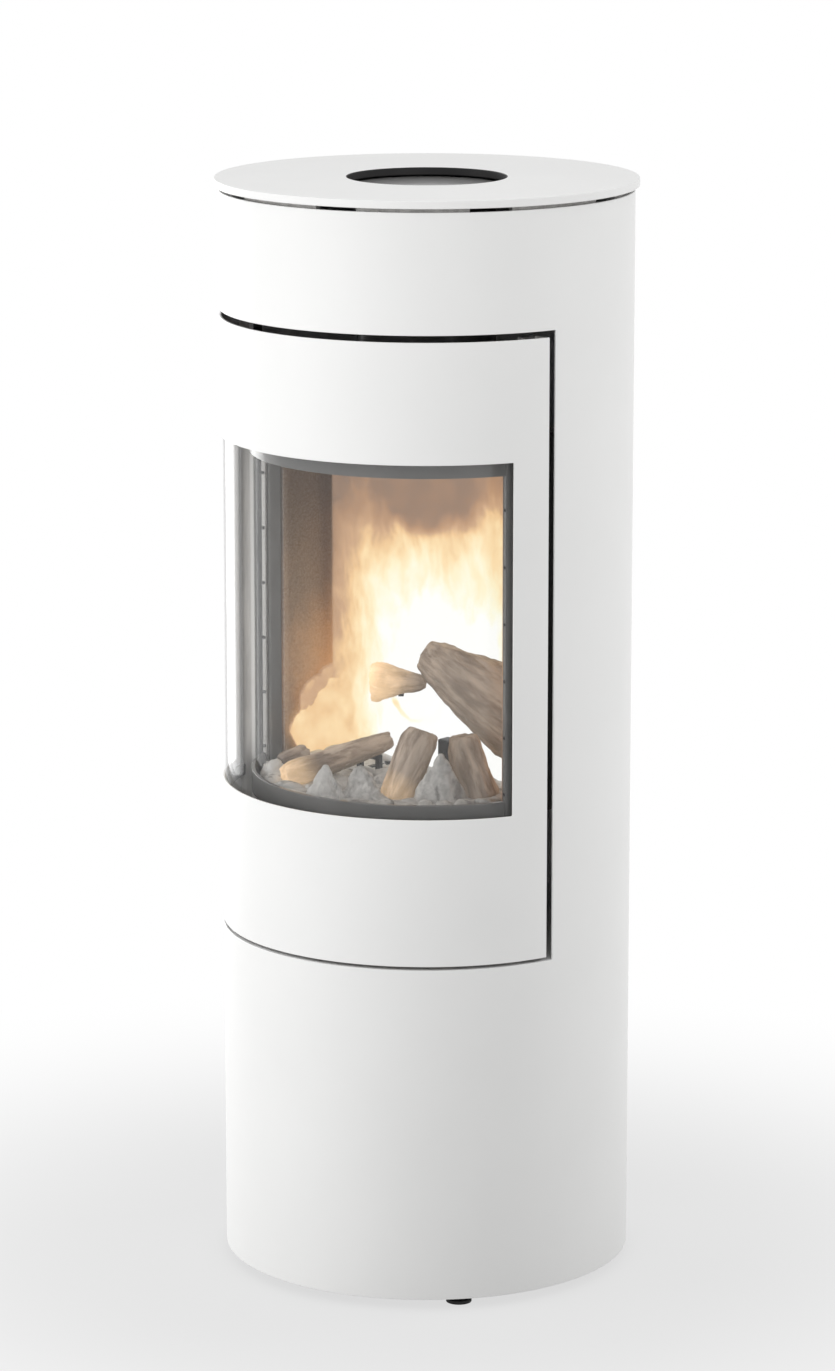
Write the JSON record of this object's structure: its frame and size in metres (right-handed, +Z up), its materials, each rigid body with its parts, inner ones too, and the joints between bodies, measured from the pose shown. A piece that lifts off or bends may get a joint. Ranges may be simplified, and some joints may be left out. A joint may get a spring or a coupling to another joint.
{
  "type": "free-standing stove",
  "caption": "Round free-standing gas stove: steel drum casing, curved glazed door, sealed fire chamber with ceramic logs, top flue outlet.",
  "frame": {"origin": "centre of the floor under the stove, at the undersides of its feet", "axes": "-Y is the front, where the door is; +X is the stove's right-hand side seen from the front; +Z is up"},
  "size_m": [0.4596, 0.4596, 1.2072],
  "materials": {
    "white_enamel": "smooth white powder coat, satin",
    "black_paint": "matt black heat-proof paint",
    "grey_paint": "dark grey heat-proof paint, satin",
    "zinc_steel": "zinc-plated steel",
    "brass": "machined brass",
    "fire_lining": "rough heat-proof board, sooted",
    "log_ceramic": "moulded ceramic bark with ash and char",
    "stone_ceramic": "rough grey pebble",
    "foot_rubber": "black rubber",
    "black_plastic": "matt black plastic",
    "clear_glass": "clear bent ceramic glass"
  },
  "bodies": {
    "casing": {"base_plate": "black_paint", "bay_floor": "white_enamel", "bay_roof": "black_paint", "burner_feed_pipe": "brass", "burner_tray": "grey_paint", "catch_magnet": "black_paint", "chamber_floor": "grey_paint", "chamber_leg_left": "black_paint", "chamber_leg_right": "black_paint", "chamber_roof": "grey_paint", "chamber_walls": "grey_paint", "fire_glass": "clear_glass", "fire_rail_bottom": "grey_paint", "fire_rail_top": "grey_paint", "flue_collector": "grey_paint", "flue_spigot_inner": "zinc_steel", "flue_spigot_outer": "grey_paint", "gas_inlet_pipe": "brass", "gas_valve": "brass", "hinge_pin_bottom": "zinc_steel", "hinge_pin_top": "zinc_steel", "levelling_foot_1": "foot_rubber", "levelling_foot_2": "foot_rubber", "levelling_foot_3": "foot_rubber", "levelling_foot_4": "foot_rubber", "lining_back": "fire_lining", "lining_left": "fire_lining", "lining_right": "fire_lining", "log_1": "log_ceramic", "log_2": "log_ceramic", "log_3": "log_ceramic", "log_4": "log_ceramic", "log_5": "log_ceramic", "log_6": "log_ceramic", "log_rack": "black_paint", "lower_post_left": "black_paint", "lower_post_right": "black_paint", "outer_shell": "white_enamel", "pilot_hood": "black_paint", "receiver_box": "black_plastic", "side_frame_left": "grey_paint", "side_frame_right": "grey_paint", "stone_1": "stone_ceramic", "stone_2": "stone_ceramic", "stone_3": "stone_ceramic", "stone_4": "stone_ceramic", "top_plate": "white_enamel", "top_ring": "grey_paint", "upper_post_left": "black_paint", "upper_post_right": "black_paint"},
    "door": {"door_glass": "clear_glass", "door_hinge_block_bottom": "zinc_steel", "door_hinge_block_top": "zinc_steel", "door_panel": "white_enamel", "door_rail_bottom": "black_paint", "door_rail_top": "black_paint", "door_stile_left": "grey_paint", "door_stile_right": "grey_paint"},
    "cover": {"flue_cover": "grey_paint"},
    "knob": {"control_knob": "black_plastic"}
  },
  "joints": [
    {"name": "door_hinge", "type": "hinge", "parent": "casing", "child": "door", "pos_m": [-0.20678, -0.06243, 0.7222], "axis": [0, 0, -1], "range_deg": [0, 110]},
    {"name": "flue_cover_lift", "type": "slide", "parent": "casing", "child": "cover", "axis": [0, 0, 1], "range_m": [0, 0.06]},
    {"name": "control_knob_turn", "type": "hinge", "parent": "casing", "child": "knob", "pos_m": [0.065, -0.14, 0.4264], "axis": [0, -1, 0], "range_deg": [0, 90]}
  ]
}
